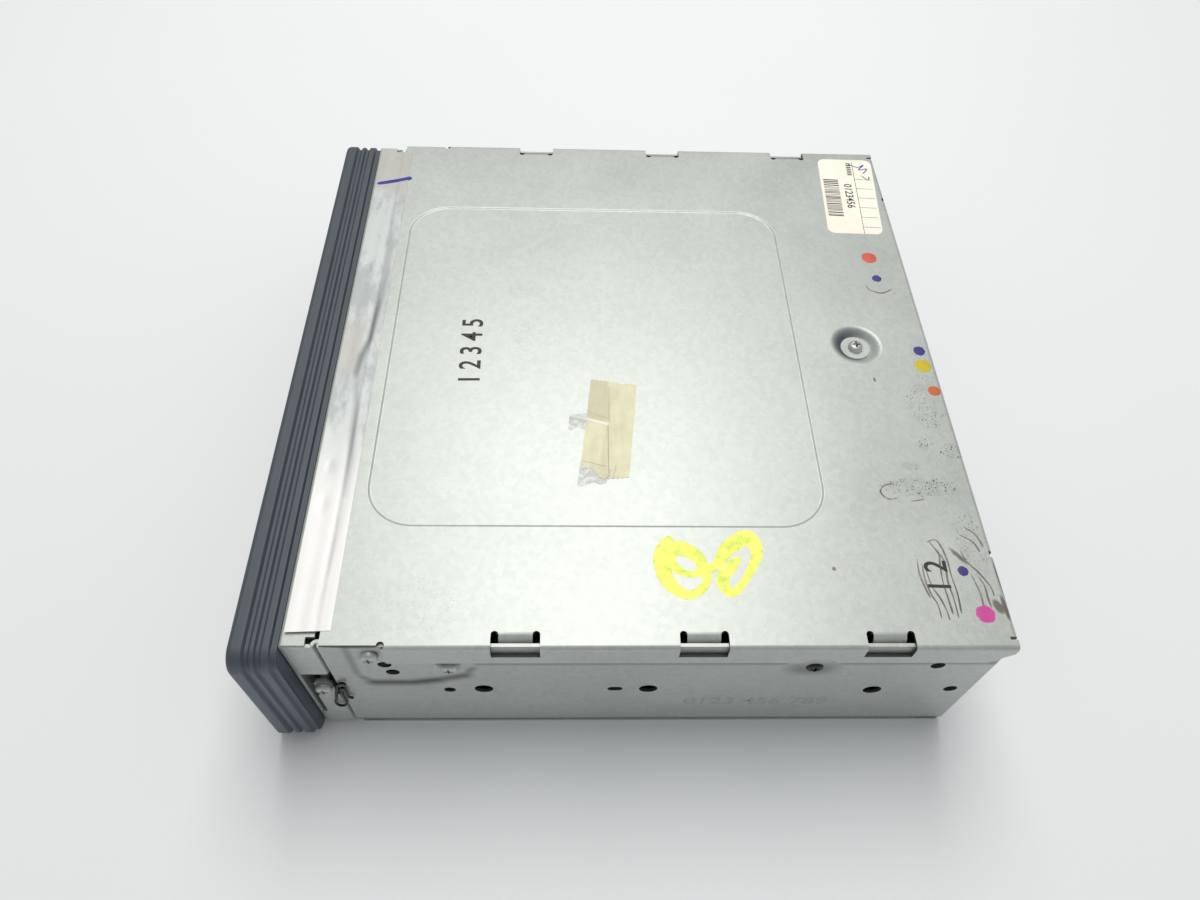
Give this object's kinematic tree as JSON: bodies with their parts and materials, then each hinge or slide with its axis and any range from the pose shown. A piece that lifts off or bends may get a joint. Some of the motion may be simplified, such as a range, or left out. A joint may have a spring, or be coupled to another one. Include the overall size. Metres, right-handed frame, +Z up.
{
  "type": "car disc player",
  "caption": "Single-height dashboard disc player: pressed steel case, ribbed front bezel with a slot, and a slot-loading disc mechanism inside.",
  "frame": {"origin": "centre of the bounding box on the underside", "axes": "+Z up through the lid, -Y out of the front bezel, +Y out of the rear connectors, +X to the right seen from the front"},
  "size_m": [0.1848, 0.1844, 0.051],
  "materials": {
    "lid_steel": "satin galvanised sheet",
    "case_steel": "satin galvanised sheet",
    "deck_steel": "satin galvanised sheet",
    "bezel_plastic": "matt moulded plastic",
    "black_plastic": "fine moulded grain",
    "white_plastic": "smooth moulded plastic",
    "gear_plastic": "smooth moulded plastic",
    "lamp_lens": "clear moulded lens",
    "pickup_glass": "coated lens",
    "foil": "creased bright foil",
    "aged_tape": "yellowed glossy film",
    "label_paper": "coated paper",
    "screw_steel": "bright plated steel",
    "black_screw": "blackened steel",
    "black_wire": "black spring wire",
    "shaft_steel": "ground steel",
    "motor_steel": "plated can",
    "pinion_brass": "turned brass",
    "cast_aluminium": "extruded, plain",
    "circuit_board": "green solder mask",
    "capacitor_sleeve": "shrink sleeve",
    "cable_film": "flat cable film",
    "fuse_plastic": "amber blade fuse",
    "damper_rubber": "soft rubber",
    "roller_rubber": "matt rubber"
  },
  "bodies": {
    "unit": {"top_cover": "lid_steel", "bottom_cover": "case_steel", "side_plate_right": "case_steel", "side_plate_left": "case_steel", "rear_panel": "case_steel", "front_subframe": "case_steel", "front_bezel": "bezel_plastic", "fascia_panel": "black_plastic", "status_lens": "lamp_lens", "front_board": "circuit_board", "foil_tape": "foil", "clear_tape": "aged_tape", "label": "label_paper", "lid_screw": "screw_steel", "screw_pad_right": "screw_steel", "screw_recess_right": "screw_steel", "screw_boss_right": "black_screw", "screw_bracket_right": "screw_steel", "screw_pad_left": "screw_steel", "screw_recess_left": "screw_steel", "screw_boss_left": "black_screw", "screw_bracket_left": "screw_steel", "spring_clip": "black_wire", "rear_connector": "black_plastic", "antenna_socket": "screw_steel", "blade_fuse": "fuse_plastic", "heat_sink": "cast_aluminium", "main_board": "circuit_board", "capacitor": "capacitor_sleeve", "flat_cable": "cable_film", "deck_chassis": "deck_steel", "upper_guide_plate": "deck_steel", "damper_right_front": "damper_rubber", "damper_right_rear": "damper_rubber", "damper_left_front": "damper_rubber", "damper_left_rear": "damper_rubber", "spindle_motor": "motor_steel", "loading_motor": "motor_steel", "guide_rod_left": "shaft_steel", "guide_rod_right": "shaft_steel", "sled_motor": "motor_steel"},
    "flap": {"dust_flap": "black_plastic"},
    "button": {"eject_button": "black_plastic"},
    "disc_table": {"turntable": "black_plastic"},
    "arm": {"clamp_arm": "deck_steel"},
    "puck": {"clamper": "white_plastic"},
    "slider": {"cam_slider": "white_plastic"},
    "roller": {"roller_shaft": "shaft_steel", "feed_roller": "roller_rubber", "roller_gear": "gear_plastic"},
    "idler": {"idler_gear": "gear_plastic"},
    "pinion": {"motor_pinion": "pinion_brass"},
    "pinch": {"pinch_bar": "black_plastic"},
    "sled": {"pickup_sled": "black_plastic"},
    "lens": {"pickup_lens": "pickup_glass"},
    "lead": {"lead_screw": "shaft_steel"}
  },
  "joints": [
    {"name": "dust_flap_hinge", "type": "hinge", "parent": "unit", "child": "flap", "pos_m": [0, -0.08635, 0.0362], "axis": [1, 0, 0], "range_deg": [0, 80], "stiffness_Nm_per_rad": 0.002},
    {"name": "eject_button_slide", "type": "slide", "parent": "unit", "child": "button", "axis": [0, 1, 0], "range_m": [0, 0.001], "stiffness_N_per_m": 400, "springref_m": -0.0005},
    {"name": "turntable_spin", "type": "hinge", "parent": "unit", "child": "disc_table", "pos_m": [0, -0.00375, 0.0275], "axis": [0, 0, 1], "continuous": true},
    {"name": "cam_slider_slide", "type": "slide", "parent": "unit", "child": "slider", "axis": [0, 1, 0], "range_m": [0, 0.008]},
    {"name": "clamp_arm_hinge", "type": "hinge", "parent": "unit", "child": "arm", "pos_m": [0, 0.06725, 0.0407], "axis": [1, 0, 0], "range_deg": [0, 3.7]},
    {"name": "clamper_spin", "type": "hinge", "parent": "arm", "child": "puck", "pos_m": [0, -0.00375, 0.0407], "axis": [0, 0, 1], "continuous": true},
    {"name": "roller_spin", "type": "hinge", "parent": "unit", "child": "roller", "pos_m": [0, -0.06875, 0.0265], "axis": [1, 0, 0], "continuous": true},
    {"name": "idler_spin", "type": "hinge", "parent": "unit", "child": "idler", "pos_m": [-0.074, -0.05146, 0.02021], "axis": [1, 0, 0], "continuous": true},
    {"name": "pinion_spin", "type": "hinge", "parent": "unit", "child": "pinion", "pos_m": [-0.074, -0.03676, 0.0139], "axis": [1, 0, 0], "continuous": true},
    {"name": "pinch_bar_hinge", "type": "hinge", "parent": "unit", "child": "pinch", "pos_m": [0, -0.05775, 0.036], "axis": [-1, 0, 0], "range_deg": [0, 10], "stiffness_Nm_per_rad": 0.02},
    {"name": "sled_slide", "type": "slide", "parent": "unit", "child": "sled", "axis": [0, 1, 0], "range_m": [0, 0.034]},
    {"name": "lead_screw_spin", "type": "hinge", "parent": "unit", "child": "lead", "pos_m": [0.03, 0.03, 0.0147], "axis": [0, 1, 0], "range_deg": [0, 2041]},
    {"name": "lens_focus", "type": "slide", "parent": "sled", "child": "lens", "axis": [0, 0, 1], "range_m": [-0.0004, 0.0004], "stiffness_N_per_m": 40}
  ],
  "couplings": [
    {"joint": "clamp_arm_hinge", "follows": "cam_slider_slide", "rad_per_m": 8.07},
    {"joint": "idler_spin", "follows": "roller_spin", "ratio": -0.53333},
    {"joint": "pinion_spin", "follows": "roller_spin", "ratio": 1.6},
    {"joint": "lead_screw_spin", "follows": "sled_slide", "rad_per_m": 1047.2}
  ]
}
